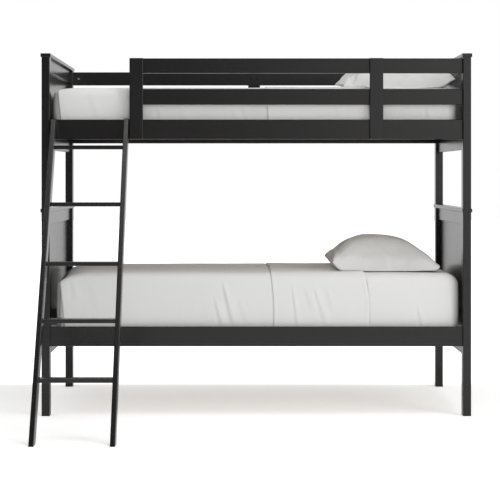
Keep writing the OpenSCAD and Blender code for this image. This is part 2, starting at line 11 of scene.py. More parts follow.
import bpy
import numpy as np
from mathutils.bvhtree import BVHTree
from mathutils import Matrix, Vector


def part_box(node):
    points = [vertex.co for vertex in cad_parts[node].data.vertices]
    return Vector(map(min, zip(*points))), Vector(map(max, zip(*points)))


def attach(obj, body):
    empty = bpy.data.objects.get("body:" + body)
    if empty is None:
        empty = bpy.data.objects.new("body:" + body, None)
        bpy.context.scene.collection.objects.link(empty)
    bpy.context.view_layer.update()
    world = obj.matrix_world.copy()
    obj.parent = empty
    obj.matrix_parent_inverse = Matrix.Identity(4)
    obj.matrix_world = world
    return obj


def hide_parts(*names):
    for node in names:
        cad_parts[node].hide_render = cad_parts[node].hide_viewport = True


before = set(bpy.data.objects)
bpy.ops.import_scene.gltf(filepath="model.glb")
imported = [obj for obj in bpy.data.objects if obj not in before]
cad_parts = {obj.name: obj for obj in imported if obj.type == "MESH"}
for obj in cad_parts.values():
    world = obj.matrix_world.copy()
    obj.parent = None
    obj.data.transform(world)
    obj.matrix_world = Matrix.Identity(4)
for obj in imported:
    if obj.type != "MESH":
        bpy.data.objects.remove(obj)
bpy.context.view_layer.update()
scene = bpy.context.scene

# %% [markdown]
# ## The camera
# A catalogue picture of a bed is taken from far away with a long lens, so that the posts stay
# upright and the two ends look alike. The camera is kept dead level, since a tilted one would make
# the posts lean, and the lens is shifted down a little instead to bring the floor into the frame.

# %% Camera
lens_data = bpy.data.cameras.new("camera")
lens_data.sensor_width = 36.0
lens_data.lens = 112.43
lens_data.shift_x = 0.023
lens_data.shift_y = -0.153
camera = bpy.data.objects.new("camera", lens_data)
camera.location = (-0.083, -7.382, 1.128)
camera.rotation_euler = (math.radians(90), 0, 0)
scene.collection.objects.link(camera)
scene.camera = camera
scene.view_settings.view_transform = "Standard"
print("camera at", tuple(round(c, 3) for c in camera.location))

# %% [markdown]
# ## Arithmetic on surfaces
# A finish is a small sum over the surface: some noise here, a little more gloss there. Wiring Math
# nodes by hand hides that sum, so one class wraps a socket and lets Python's own operators add the
# nodes. Its partner makes every other kind of node from its type, its settings and its inputs.
# Only plain values are summed this way, since a Math node would turn a colour grey.

# %% Sockets with operators, and finishes
class Value:
    """A socket in a node tree. Arithmetic on it adds Math nodes."""

    def __init__(self, tree, socket):
        self.tree, self.socket = tree, socket

    def combine(self, operation, first, second):
        return self.tree.node("ShaderNodeMath", {"operation": operation}, {0: first, 1: second})

    def __add__(self, other):
        return self.combine("ADD", self, other)

    def __sub__(self, other):
        return self.combine("SUBTRACT", self, other)

    def __rsub__(self, other):
        return self.combine("SUBTRACT", other, self)

    def __mul__(self, other):
        return self.combine("MULTIPLY", self, other)

    def __pow__(self, other):
        return self.combine("POWER", self, other)

    def __rpow__(self, other):
        return self.combine("POWER", other, self)

    __radd__, __rmul__ = __add__, __mul__


class Finish:
    """A node tree, of a material or of the world, that is built one node at a time."""

    def __init__(self, name, owner=None):
        self.owner = owner or bpy.data.materials.new(name)
        self.owner.use_nodes = True
        self.tree = self.owner.node_tree
        self.tree.nodes.clear()

    def node(self, kind, settings=None, inputs=None, output=0):
        """A node of that kind: its settings first, then the values or links of its inputs."""
        made = self.tree.nodes.new(kind)
        for key, value in (settings or {}).items():
            if key == "stops":
                elements = made.color_ramp.elements
                while len(elements) < len(value):
                    elements.new(0.5)
                for stop, (place, colour) in zip(elements, value):
                    stop.position, stop.color = place, (*colour, 1)
            else:
                setattr(made, key, value)
        for key, value in (inputs or {}).items():
            if isinstance(value, Value):
                self.tree.links.new(value.socket, made.inputs[key])
            else:
                made.inputs[key].default_value = value
        return Value(self, made.outputs[output]) if made.outputs else made


print("a finish is ready to take nodes")


# %% Colours, places and their parts
def grey(level):
    """A neutral colour with alpha, as the colour sockets want it."""
    return (level, level, level, 1)


def coordinates(finish, kind="Object"):
    """Where a point is: in metres in the frame, or which way it lies for the sky."""
    return finish.node("ShaderNodeTexCoord", output=kind)


def parts(finish, vector):
    """The X, Y and Z of a vector, as three values."""
    return [finish.node("ShaderNodeSeparateXYZ", {}, {0: vector}, output=i) for i in range(3)]


print("grey(0.5) is", grey(0.5))

# %% [markdown]
# ## The studio
# The bed stands on a white floor in front of a white backdrop. Lighting the floor until it is pure
# white would burn out the sheets as well, so the camera is shown a brighter floor than the bed is
# lit by: Light Path tells the kinds of ray apart. The floor still takes the bed's shadow. Mirrored in
# the paint it is dark near the bed and paler far off, and just in front of the bed it throws a
# little extra light up at the undersides, as a floor under studio lamps does.

# %% Floor
SHADOW_END = (0.93, 1.04)
LIT_FLOOR = ((-3.5, -2.0), (-0.6, -0.2))
FAR_FLOOR = (5.0, 12.0)


def ramp(finish, value, span, ends=(0.0, 1.0)):
    """A soft step from the first of the ends to the second, as value goes over the span."""
    places = {"From Min": span[0], "From Max": span[1], "To Min": ends[0], "To Max": ends[1]}
    smooth_step = {"interpolation_type": "SMOOTHSTEP"}
    return finish.node("ShaderNodeMapRange", smooth_step, {"Value": value, **places})


def ray_kinds(finish):
    """Three switches: 1 for rays from the camera, in a reflection and through glass."""
    rays = ("Is Camera Ray", "Is Glossy Ray", "Is Transmission Ray")
    return [finish.node("ShaderNodeLightPath", output=name) for name in rays]


def floor_paint(albedo=0.90, glow=0.475, bounce=0.30, far_gloss=0.30):
    """White that takes the bed's shadow as far as SHADOW_END, and plain white beyond. The three
    places are in metres towards the back, from the middle of the bed."""
    finish = Finish("studio_floor")
    place = coordinates(finish)
    depth = finish.node("ShaderNodeSeparateXYZ", {}, {0: place}, output=1)
    beyond = ramp(finish, depth, SHADOW_END)
    nearby = ramp(finish, depth, LIT_FLOOR[0]) * ramp(finish, depth, LIT_FLOOR[1], (1.0, 0.0))
    paint = finish.node("ShaderNodeBsdfDiffuse", {}, {"Color": grey(albedo)})
    camera_ray, gloss_ray, glass_ray = ray_kinds(finish)
    bounced = finish.node("ShaderNodeLightPath", output="Is Diffuse Ray") * nearby * bounce
    mirrored = (1 - albedo) + ramp(finish, depth, FAR_FLOOR, (0.0, far_gloss))
    looked_at = (camera_ray + glass_ray) * (glow + beyond * (1 - glow))
    strength = looked_at + gloss_ray * mirrored + bounced
    light = finish.node("ShaderNodeEmission", {}, {"Color": grey(1.0), "Strength": strength})
    both = finish.node("ShaderNodeAddShader", {}, {0: paint, 1: light})
    finish.node("ShaderNodeOutputMaterial", {}, {"Surface": both})
    return finish.owner


def flat_square(name, half, height):
    """A level square that reaches half its width each way, at that height."""
    mesh = bpy.data.meshes.new(name)
    corners = [(-half, -half, 0), (half, -half, 0), (half, half, 0), (-half, half, 0)]
    mesh.from_pydata(corners, [], [(0, 1, 2, 3)])
    made = bpy.data.objects.new(name, mesh)
    made.location.z = height
    scene.collection.objects.link(made)
    return made


floor = flat_square("studio_floor", 30.0, -0.0005)
floor.data.materials.append(floor_paint())
print("floor laid")

# %% [markdown]
# ## The sky and the lamps
# Black lacquer shows its surroundings more than its own colour. So the sky is white to look at, but
# what the paint mirrors is a room: white behind the bed, dark in front, with a soft box overhead and
# another to the right. Three round area lamps do most of the lighting. The strongest stands to the
# right and in front, which leaves the left side a little darker.

# %% Sky and lamps
SIDE_BOX, TOP_BOX, WALL_TOP, BACKDROP = (-0.06, 0.20), (0.835, 0.865), (0.10, 0.50), (-0.35, 0.20)
BED_MIDDLE = (0, 0.3, 0.6)


def white_sky(horizon=0.34, zenith=0.58, dim=0.10, side=1.45, overhead=3.6, backdrop=0.91, tip=0.25):
    """White to look at, and a room in reflections. Its four spans are parts of a direction of
    length 1: to the right, up, up, and to the back. The box overhead tips to the right."""
    scene.world = scene.world or bpy.data.worlds.new("studio_sky")
    finish = Finish("studio_sky", scene.world)
    way = coordinates(finish, "Generated")
    x, y, z = parts(finish, way)
    side_box = ramp(finish, x, SIDE_BOX, (dim, side))
    top_box = ramp(finish, z + x * tip, TOP_BOX)
    wall = side_box * ramp(finish, z, WALL_TOP, (1.0, 0.2))
    room = wall + top_box * (overhead - wall)
    behind = ramp(finish, y, BACKDROP)
    mirrored = room + behind * (backdrop - room)
    camera_ray, gloss_ray, glass_ray = ray_kinds(finish)
    looked_at = camera_ray + glass_ray
    seen = looked_at + gloss_ray * mirrored
    strength = seen + (1 - looked_at - gloss_ray) * ramp(finish, z, (0.0, 1.0), (horizon, zenith))
    light = finish.node("ShaderNodeBackground", {}, {"Color": grey(1.0), "Strength": strength})
    finish.node("ShaderNodeOutputWorld", {}, {"Surface": light})


def soft_lamp(name, place, target, size, watts):
    """A round area lamp. The sky already has its reflection, so it doesn't show in gloss."""
    data = bpy.data.lights.new(name, "AREA")
    data.shape, data.size, data.energy = "DISK", size, watts
    lamp = bpy.data.objects.new(name, data)
    lamp.location = place
    aim = [t - p for t, p in zip(target, place)]
    lamp.rotation_euler = (
        math.atan2(math.hypot(aim[0], aim[1]), -aim[2]),
        0,
        math.atan2(aim[1], aim[0]) - math.radians(90),
    )
    lamp.visible_glossy = False
    scene.collection.objects.link(lamp)


white_sky()
soft_lamp("key_lamp", (4.4, -4.4, 3.0), BED_MIDDLE, size=3.0, watts=88)
soft_lamp("front_lamp", (0.8, -7.6, 1.3), BED_MIDDLE, size=4.0, watts=67)
soft_lamp("top_lamp", (0.6, -1.0, 4.6), (0.6, -1.0, 0.0), size=3.0, watts=56)
print("sky and three lamps")

# %% [markdown]
# ## Black satin paint on wood
# The frame is pine under a sprayed black lacquer. It is never one flat black: the spray leaves a fine
# orange peel, the grain telegraphs through in faint long lines, and hands polish some places more
# than others. The grain has to run along each board, so the same recipe is made three times, for
# boards along X, Y and Z, with the noise stretched that way. Bump gives the peel and the grain.

# %% Paint
def grain_space(finish, axis, along, across):
    """Coordinates that are stretched along the grain, from metres in the frame."""
    place = coordinates(finish)
    scale = [across] * 3
    scale["XYZ".index(axis)] = along
    return finish.node("ShaderNodeMapping", {}, {"Vector": place, "Scale": scale})


def noise(finish, space, scale, detail=4.0, roughness=0.5, distortion=0.0):
    """Noise with scale cells in a metre of that space."""
    kind = {"Scale": scale, "Detail": detail, "Roughness": roughness, "Distortion": distortion}
    return finish.node("ShaderNodeTexNoise", {}, {"Vector": space, **kind})


def grain(finish, axis, along, across, detail, roughness=0.5, distortion=0.0):
    """Noise drawn out along the grain, with its rates along and across a board, per metre."""
    space = grain_space(finish, axis, along, across)
    return noise(finish, space, 1.0, detail, roughness, distortion)


def blend_colours(finish, factor, first, second):
    settings = {"data_type": "RGBA", "clamp_factor": True}
    return finish.node("ShaderNodeMix", settings, {0: factor, 6: first, 7: second}, output=2)


def bump(finish, height, strength, distance, normal=None):
    """Relief from a height between 0 and 1, distance metres deep, on top of an earlier normal."""
    inputs = {"Height": height, "Strength": strength, "Distance": distance}
    if normal is not None:
        inputs["Normal"] = normal
    return finish.node("ShaderNodeBump", {}, inputs)


def surface(finish, inputs):
    """Ends a finish with the shader, and gives back its material."""
    shader = finish.node("ShaderNodeBsdfPrincipled", {}, inputs)
    finish.node("ShaderNodeOutputMaterial", {}, {"Surface": shader})
    return finish.owner


DEEP_BLACK, WORN_BLACK = (0.0050, 0.0050, 0.0051, 1), (0.0110, 0.0109, 0.0107, 1)


def black_paint(axis):
    finish = Finish("black_paint_" + axis.lower())
    place = coordinates(finish)
    fibres = grain(finish, axis, 5.0, 260.0, detail=5.0, roughness=0.6, distortion=0.3)
    figure = grain(finish, axis, 1.2, 28.0, detail=3.0, distortion=0.8)
    handling = noise(finish, place, 3.2, detail=3.0, roughness=0.55)
    peel = noise(finish, place, 900.0, detail=2.0)
    wear = figure * 0.5 + fibres * 0.25 + handling * 0.35
    colour = blend_colours(finish, wear, DEEP_BLACK, WORN_BLACK)
    rough = 0.18 + handling * 0.05 + fibres * 0.03
    relief = bump(finish, fibres, 0.16, distance=0.0006)
    relief = bump(finish, peel, 0.10, distance=0.0004, normal=relief)
    return surface(finish, {"Base Color": colour, "Roughness": rough, "Normal": relief})


PAINT = {axis: black_paint(axis) for axis in "XYZ"}
print("paint:", ", ".join(m.name for m in PAINT.values()))

# %% [markdown]
# ## Bare pine
# The slats are planed pine and stay unpainted: pale, with darker late wood rings that run as long
# bands, a knot here and there, and no two slats from the same tree. The rings are a sine wave bent by
# noise that is stretched along the grain. Random Per Island gives each slat its own number, which
# sets its shade and moves the pattern, so no two slats show the same piece of wood.

# %% Pine
SLAT_SHIFT = (37.0, 11.0, 23.0)
RING_RATE = 46.0
RING_COLOURS = [(0.0, (0.700, 0.500, 0.290)), (0.6, (0.640, 0.420, 0.220)), (1.0, (0.470, 0.270, 0.120))]
OLD_PINE, KNOT = (0.50, 0.32, 0.17, 1), (0.150, 0.070, 0.030, 1)


def sine(finish, value):
    return finish.node("ShaderNodeMath", {"operation": "SINE"}, {0: value})


def pine(axis):
    finish = Finish("pine_" + axis.lower())
    shade = finish.node("ShaderNodeNewGeometry", output="Random Per Island")
    space = grain_space(finish, axis, 1.0, 16.0)
    shift = {i: shade * far for i, far in enumerate(SLAT_SHIFT)}
    shift = finish.node("ShaderNodeCombineXYZ", {}, shift)
    moved = finish.node("ShaderNodeVectorMath", {"operation": "ADD"}, {0: space, 1: shift})
    bend = noise(finish, moved, 1.3, detail=3.0, distortion=0.2)
    rings = sine(finish, bend * RING_RATE) * 0.5 + 0.5
    fibres = grain(finish, axis, 9.0, 420.0, detail=4.0, roughness=0.6)
    late_wood = rings ** 3.0 * 0.8 + fibres * 0.3
    wood = finish.node("ShaderNodeValToRGB", {"stops": RING_COLOURS}, {"Fac": late_wood})
    tone = blend_colours(finish, shade * 0.35, wood, OLD_PINE)
    cells = {"Vector": grain_space(finish, axis, 5.0, 8.0), "Scale": 1.0}
    knot = ramp(finish, finish.node("ShaderNodeTexVoronoi", {}, cells), (0.13, 0.05))
    colour = blend_colours(finish, knot * 0.85, tone, KNOT)
    rough = 0.55 + fibres * 0.15 - knot * 0.1
    relief = bump(finish, fibres, 0.25, distance=0.0005)
    return surface(finish, {"Base Color": colour, "Roughness": rough, "Normal": relief})


PINE = pine("Y")
print("slats:", PINE.name)

# %% [markdown]
# ## Dowels and steel
# The rest of the frame's loose parts hardly show: beech dowels under the caps, blackened bolts and
# screws, zinc plated barrel nuts and pins. Beech is told from pine by its short dark flecks, and
# plated steel by a fine spangle with a faint brushing over it, so each is two noises and a bump.

# %% Dowels and steel
def beech():
    finish = Finish("beech_dowel")
    place = coordinates(finish)
    fleck = grain(finish, "Z", 30.0, 500.0, detail=3.0)
    colour = blend_colours(finish, fleck, (0.58, 0.38, 0.22, 1), (0.44, 0.26, 0.14, 1))
    relief = bump(finish, noise(finish, place, 700.0), 0.2, distance=0.0004)
    return surface(finish, {"Base Color": colour, "Roughness": 0.5 + fleck * 0.2, "Normal": relief})


def steel(name, dark, light, smoothest):
    finish = Finish(name)
    place = coordinates(finish)
    spangle = noise(finish, place, 260.0, detail=3.0, roughness=0.6)
    brush = grain(finish, "X", 120.0, 1600.0, detail=2.0)
    colour = blend_colours(finish, spangle, dark, light)
    rough = smoothest + spangle * 0.12 + brush * 0.06
    relief = bump(finish, brush, 0.12, distance=0.0003)
    looks = {"Base Color": colour, "Metallic": 1.0, "Roughness": rough, "Normal": relief}
    return surface(finish, looks)


BEECH = beech()
ZINC = steel("zinc_steel", (0.50, 0.51, 0.52, 1), (0.66, 0.67, 0.68, 1), 0.28)
DARK_STEEL = steel("blackened_steel", (0.020, 0.020, 0.021, 1), (0.045, 0.045, 0.047, 1), 0.34)
print("fastenings:", ", ".join(m.name for m in (BEECH, ZINC, DARK_STEEL)))

# %% [markdown]
# ## Every board gets its finish
# The name of a part says which way its grain runs: posts and stiles stand, side rails and guard
# rails run along the bed, caps and end rails run across it. Each part could be dressed by hand, but
# one table of names does the whole frame: the first words that a name holds give its finish.

# %% Dress the frame
FINISH_BY_NAME = [
    ("_slats", PINE), ("dowels", BEECH),
    ("barrel_nuts", ZINC), ("bolts", DARK_STEEL), ("screws", DARK_STEEL),
    ("hooks", DARK_STEEL), ("stacking_pins", ZINC),
    ("post", PAINT["Z"]), ("stile", PAINT["Z"]), ("guard_board", PAINT["Z"]),
    ("side_rail", PAINT["X"]), ("slat_ledges", PAINT["X"]),
    ("guard_", PAINT["X"]), ("ladder_step", PAINT["X"]),
    ("end_panel", PAINT["Z"]), ("end_", PAINT["Y"]), ("cap", PAINT["Y"]),
]
SOFT_NODES = ("lower_mattress", "upper_mattress", "lower_pillow", "upper_pillow")
for name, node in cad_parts.items():
    if name in SOFT_NODES:
        continue
    finish = next(m for words, m in FINISH_BY_NAME if words in name)
    node.data.materials.clear()
    node.data.materials.append(finish)
print(len(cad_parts) - len(SOFT_NODES), "nodes dressed")

# %% [markdown]
# ## Cloth that follows a mattress
# A fitted sheet is cut like the lid of a box, and a flat sheet takes the same shape once it is tucked
# in. Both could be dropped on the mattress by a simulation, but tight, ironed bedding hardly moves:
# what shows is where it bends. So a net of small squares over a sharp box is wrapped onto a soft one,
# whose edges are rounded more at the ends than along the sides, and each layer lies a little higher.

# %% A net over the faces of a box
def box_net(xs, ys, zs, cover):
    """Points and quads over the faces of a block of cells, for the squares that cover() keeps."""
    lines = [np.asarray(v, float) for v in (xs, ys, zs)]
    counts = [len(v) for v in lines]
    quads = []
    for axis, side in ((2, 1), (2, 0), (1, 0), (1, 1), (0, 1), (0, 0)):
        first, second = [a for a in range(3) if a != axis]
        cells = [np.arange(counts[a] - 1) for a in (first, second)]
        i, j = np.meshgrid(*cells, indexing="ij")
        corners = []
        for di, dj in ((0, 0), (1, 0), (1, 1), (0, 1)):
            index = np.zeros((i.size, 3), int)
            index[:, first] = i.ravel() + di
            index[:, second] = j.ravel() + dj
            index[:, axis] = (counts[axis] - 1) * side
            corners.append(index)
        corners = np.stack(corners, 1)
        outward = (1 if axis != 1 else -1) * (1 if side else -1)
        if outward < 0:
            corners = corners[:, ::-1]
        middle = np.stack([lines[a][corners[:, :, a]].mean(1) for a in range(3)], 1)
        quads.append(corners[cover(middle, axis, side)])
    quads = np.concatenate(quads)
    keys = (quads[..., 0] * counts[1] + quads[..., 1]) * counts[2] + quads[..., 2]
    used, quads = np.unique(keys, return_inverse=True)
    place = used // (counts[1] * counts[2]), used // counts[2] % counts[1], used % counts[2]
    points = np.stack([line[index] for line, index in zip(lines, place)], 1)
    return points, quads.reshape(keys.shape)


def smooth(value, low, high):
    """0 below low, 1 above high, and a soft step between."""
    t = np.clip((value - low) / (high - low), 0, 1)
    return t * t * (3 - 2 * t)


def bell(value, width):
    """1 where value is 0, falling softly to nothing at about twice the width."""
    return np.exp(-((value / width) ** 2))


def whole(middle, axis, side):
    """A cover that keeps every square."""
    return np.ones(len(middle), bool)


print("a box of two cells has", len(box_net([0, 1, 2], [0, 1], [0, 1], whole)[1]), "squares")

# %% [markdown]
# ## The soft block
# A mattress isn't quite a box. Its top is crowned, its sides swell a little at half height, its ends
# roll over in a wide shoulder and its long edges in a tighter one. One function knows all of that and
# moves points outward from there, so that any layer of cloth can be laid at its own height.

# %% The soft block
class Block:
    """A mattress in the frame: its box, its rounded edges, its swell and its dropped foot end."""

    foot_round, head_round = 0.066, 0.060
    flap_round = 0.006
    side_round = 0.034
    foot_top_round, top_round, head_top_round = 0.016, 0.034, 0.056
    shoulder, droop_length = 0.20, 0.145
    crown, swell, back_sag = 0.004, 0.004, 0.010
    thinner_beneath = 0.85

    def __init__(self, node, droop, grow=0.0, clear=(0.002, 0.003)):
        """droop is how far the foot end hangs, grow how far the foot stands out beyond the node, and
        clear what is left free beneath and on top."""
        low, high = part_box(node)
        self.low = np.array([low[0] - grow, low[1], low[2] + clear[0]])
        self.high = np.array([high[0], high[1], high[2] - clear[1]])
        self.middle = (self.low + self.high) / 2
        self.half = (self.high - self.low) / 2
        self.droop = droop

    def radii(self, local, flap):
        """How far each point's edge is rounded along X, Y and Z. A flap hangs straight over the foot."""
        to_head = smooth(local[:, 0], self.half[0] - self.shoulder, self.half[0])
        to_foot = smooth(-local[:, 0], self.half[0] - self.shoulder, self.half[0])
        foot = self.foot_round + (self.flap_round - self.foot_round) * flap
        along = np.where(local[:, 0] < 0, foot, self.head_round)
        upright = self.top_round + (self.head_top_round - self.top_round) * to_head
        upright = upright + (self.foot_top_round - self.top_round) * to_foot
        return np.stack([along, np.full(len(local), self.side_round), upright], 1)

    def wrap(self, points, height, flap=0.0):
        """Points on the sharp box, laid on the soft block at a height above it."""
        local = points - self.middle
        radii = self.radii(local, flap)
        core = np.clip(local, -(self.half - radii), self.half - radii)
        turn = (local - core) / radii
        turn /= np.maximum(np.linalg.norm(turn, axis=1), 1e-9)[:, None]
        place = core + turn * radii
        normal = turn / radii
        normal /= np.linalg.norm(normal, axis=1)[:, None]
        share = place / self.half
        top = np.clip(normal[:, 2], 0, 1)
        place[:, 2] += top * self.crown * (1 - share[:, 0] ** 4) * (1 - share[:, 1] ** 2)
        swell = self.swell * (1 - share[:, 2] ** 2)
        place[:, :2] += normal[:, :2] * swell[:, None]
        upper = np.clip(share[:, 2], 0, 1)
        hanging = (self.droop_length - self.half[0] - local[:, 0]) / self.droop_length
        to_foot = np.clip(hanging, 0, 1)
        to_back, to_front = np.clip(share[:, 1], 0, 1), smooth(-share[:, 1], -0.4, 1.0)
        place[:, 2] -= upper * (self.droop * to_foot**2 * to_front + self.back_sag * to_back)
        lift = height * np.where(normal[:, 2] < 0, 1 + self.thinner_beneath * normal[:, 2], 1)
        return self.middle + place + normal * lift[:, None]

    def across(self, points):
        """Distance over the sharp box from its middle line, less than 0 at the back."""
        local = points - self.middle
        out = np.abs(local[:, 1])
        beneath = local[:, 2] < -self.half[2] + 1e-6
        beside = out > self.half[1] - 1e-6
        drop = np.where(beside | beneath, self.half[2] - local[:, 2], 0)
        under = np.where(beneath, self.half[1] - out, 0)
        return np.sign(-local[:, 1]) * (out + drop + 2 * under)


BLOCKS = {
    "lower": Block("lower_mattress", droop=0.038),
    "upper": Block("upper_mattress", droop=0.010, grow=0.003),
}
print({name: tuple(np.round(b.half * 2, 3)) for name, b in BLOCKS.items()})


# %% From a net to a piece
def steps(low, high, size):
    """Even coordinates from low to high, about size apart."""
    return np.linspace(low, high, max(2, int(round((high - low) / size))) + 1)


def grid_quads(index):
    """The squares between the rows and columns of a grid of point numbers."""
    corners = [index[:-1, :-1], index[1:, :-1], index[1:, 1:], index[:-1, 1:]]
    return np.stack(corners, -1).reshape(-1, 4)


def make_mesh(name, points, quads, material, body):
    """A smooth piece from points and quads, which rides on that body."""
    mesh = bpy.data.meshes.new(name)
    mesh.from_pydata(points.tolist(), [], quads.tolist())
    mesh.materials.append(material)
    mesh.polygons.foreach_set("use_smooth", [True] * len(mesh.polygons))
    mesh.update()
    piece = bpy.data.objects.new(name, mesh)
    scene.collection.objects.link(piece)
    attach(piece, body)
    print(name, len(mesh.vertices), "points")
    return piece


print("a metre in steps of 0.3:", steps(0, 1, 0.3).round(2))

# %% [markdown]
# ## Cotton
# Both sheets and pillowcases are plain white cotton percale. Close up it is a plain weave, one thread
# over and one under, with slubs where a thread is thicker, and over that the soft dents of cloth that
# has been folded in a drawer. Two sine waves crossed make the weave. It and the dents only bend the
# light, so they are bump, while the slubs are the faintest change of shade. The cloth is matt, with a
# little sheen at grazing angles. The pillowcases' cotton is made darker than the sheets', and that
# difference is painted shade on the pillows.

# %% Cotton cloth
SLUB_SHADE = 0.955


def cotton(name, shade, dents=0.5, thread=0.0011):
    """Cotton in that shade. dents says how deep its soft dents are, thread how wide a thread is."""
    finish = Finish(name)
    place = coordinates(finish)
    x, y, z = parts(finish, place)
    rate = 2 * math.pi / thread
    weave = sine(finish, x * rate) * sine(finish, (y + z) * rate) * 0.5 + 0.5
    slub = grain(finish, "X", 18.0, 420.0, detail=2.0)
    slub = slub + grain(finish, "Z", 18.0, 420.0, detail=2.0)
    soft = noise(finish, place, 7.0, detail=3.0, roughness=0.45, distortion=0.4)
    fold = noise(finish, place, 26.0, detail=2.0, distortion=0.6)
    dark = tuple(c * SLUB_SHADE for c in shade)
    colour = blend_colours(finish, slub * 0.4 + soft * 0.3, (*shade, 1), (*dark, 1))
    relief = bump(finish, soft, 0.30 * dents, distance=0.010)
    relief = bump(finish, fold, 0.18 * dents, distance=0.004, normal=relief)
    relief = bump(finish, weave + slub * 0.6, 0.22, distance=0.00022, normal=relief)
    return surface(
        finish,
        {
            "Base Color": colour, "Roughness": 0.82 + slub * 0.06, "Normal": relief,
            "Specular IOR Level": 0.25, "Sheen Weight": 0.15, "Sheen Roughness": 0.4,
        },
    )


SHEET = cotton("sheet_cotton", (0.80, 0.80, 0.79))
# The pillowcase cotton is darker than the sheet cotton: painted shade that dims both pillows as a whole.
SHADED_CASE = cotton("pillow_cotton", (0.73, 0.73, 0.72), dents=0.8)
TICKING = cotton("mattress_ticking", (0.72, 0.71, 0.68), dents=1.2, thread=0.0024)
print("cloth:", ", ".join(m.name for m in (SHEET, SHADED_CASE, TICKING)))

# %% [markdown]
# ## Mattresses
# Of a dressed mattress only the underside still shows, between the slats. A plain box would do for
# that, but the sheets could cut into its corners. So it is wrapped on the same soft block as they
# are, only a little lower, and nothing is hollow.

# %% Mattresses
CORE_CELL = 0.03
CORE_INSET, TUFT_DEPTH, TUFT_SPACING = 0.004, 0.0025, 0.12


def mattress(bed):
    """The mattress itself, with shallow tufts, just inside its sheets."""
    block = BLOCKS[bed]
    lines = [steps(block.low[a], block.high[a], CORE_CELL) for a in range(3)]
    points, quads = box_net(*lines, whole)
    wave = np.cos(points[:, :2] * 2 * math.pi / TUFT_SPACING)
    tufts = 0.5 + 0.5 * wave[:, 0] * wave[:, 1]
    place = block.wrap(points, -CORE_INSET - TUFT_DEPTH * tufts)
    piece = make_mesh(bed + "_mattress_core", place, quads, TICKING, bed + "_mattress")
    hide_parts(bed + "_mattress")
    return piece


CORES = {bed: mattress(bed) for bed in BLOCKS}

# %% [markdown]
# ## Folds that a hand leaves
# A tight sheet still has a few long, soft creases, where it was pulled down and tucked. Each one is a
# low ridge, steep towards the foot with a shallow dip there, along a line that runs over the edge of
# the bed: the line is given on the unrolled sheet, by its place along the bed and its distance over
# from the middle. The net is closer where creases are, or they would fall between its points.

# %% Creases
CELL, FINE, FINEST = 0.012, 0.004, 0.0024


def crease_height(block, points, lines):
    """Height of soft creases, each given as (x0, over0, x1, over1, width, height). A crease widens
    on its way. Counted in widths across it, the ridge falls slowly towards the head and fast towards
    the foot, where the dip follows."""
    narrow, widening, set_back = 0.65, 0.5, 0.9
    slow, fast = 2.2, 1.0
    dip_place, dip_width, dip_depth = 1.9, 1.2, 0.6
    over = block.across(points)
    total = np.zeros(len(points))
    for x0, over0, x1, over1, width, height in lines:
        run = np.array([x1 - x0, over1 - over0])
        length = float(np.hypot(*run))
        along = ((points[:, 0] - x0) * run[0] + (over - over0) * run[1]) / length**2
        off = ((points[:, 0] - x0) * run[1] - (over - over0) * run[0]) / length
        across = off / (width * (narrow + widening * np.clip(along, 0, 1))) - set_back
        ridge = bell(across, np.where(across > 0, slow, fast))
        dip = bell(across + dip_place, dip_width)
        fade = smooth(along, -0.15, 0.30) * (1 - smooth(along, 0.85, 1.25))
        total += height * (ridge - dip_depth * dip) * fade
    return total


def graded(low, high, fine):
    """Coordinates from low to high, CELL apart, and closer inside each (start, end, size) of fine."""
    lines = []
    for start, end, size in sorted(fine):
        lines += [steps(low, start, CELL)[:-1], steps(start, end, size)[:-1]]
        low = end
    return np.concatenate([*lines, steps(low, high, CELL)])


def sheet_net(block, end, fine, cover):
    """A net over the block from its foot as far as end, closer along the bed inside fine."""
    lines = [graded(block.low[0], end, fine)]
    lines += [steps(block.low[a], block.high[a], CELL) for a in (1, 2)]
    return box_net(*lines, cover)


def drift(points, seed, size, height, waves=7):
    """A slow, gentle unevenness, from a few sine waves."""
    draw = np.random.default_rng(seed)
    total = np.zeros(len(points))
    for _ in range(waves):
        way = draw.normal(size=3) / size
        total += np.sin(points @ way + draw.uniform(0, 6.3)) * height / 3
    return total


print("a net with one close span:", np.round(graded(0.0, 0.06, [(0.024, 0.036, FINE)]), 3))

# %% [markdown]
# ## Fitted sheets
# The fitted sheet is one open shell: the top, the four sides and a hem that elastic pulls in under the
# mattress. Its cut is a rectangle with a square notched out of each corner, which is where the four
# corner seams come from. The flat size below is that rectangle, and the area leaves the notches out.

# %% Fitted sheets
HEM_UNDER = 0.08
FOLDS = {"lower": 0.504, "upper": 0.508}
EDGE_BLEND = 0.02


def cuff_groove(block, points, fold, place=0.010, lean=0.012, width=0.0045, depth=0.0034):
    """How far the fold of the top sheet's cuff presses into the sheet beside it, down the sides."""
    over, edge = np.abs(block.across(points)), block.half[1]
    beyond = points[:, 0] - fold - place - lean * smooth(over, edge, edge + 0.2)
    return depth * bell(beyond, width) * smooth(over, edge, edge + EDGE_BLEND)


def fitted_sheet(bed, creases):
    block, fold = BLOCKS[bed], FOLDS[bed]

    def cover(middle, axis, side):
        if (axis, side) != (2, 0):
            return whole(middle, axis, side)
        inside = block.half[:2] - np.abs(middle[:, :2] - block.middle[:2])
        return inside.min(1) < HEM_UNDER

    deepest = creases[0]
    spans = [(deepest[0] - 0.02, deepest[2] + 0.03, FINE), (fold - 0.004, fold + 0.044, FINEST)]
    points, quads = sheet_net(block, block.high[0], spans, cover)
    height = crease_height(block, points, creases) + drift(points, seed=3, size=0.16, height=0.0006)
    height -= cuff_groove(block, points, fold)
    place = block.wrap(points, height)
    piece = make_mesh(bed + "_fitted_sheet", place, quads, SHEET, bed + "_mattress")
    drop = block.half[2] * 2 + HEM_UNDER
    flat = [2 * (block.half[a] + drop) for a in (0, 1)]
    flat[0] * flat[1] - 4 * drop**2
    print("  cut", np.round(flat, 3))
    return piece


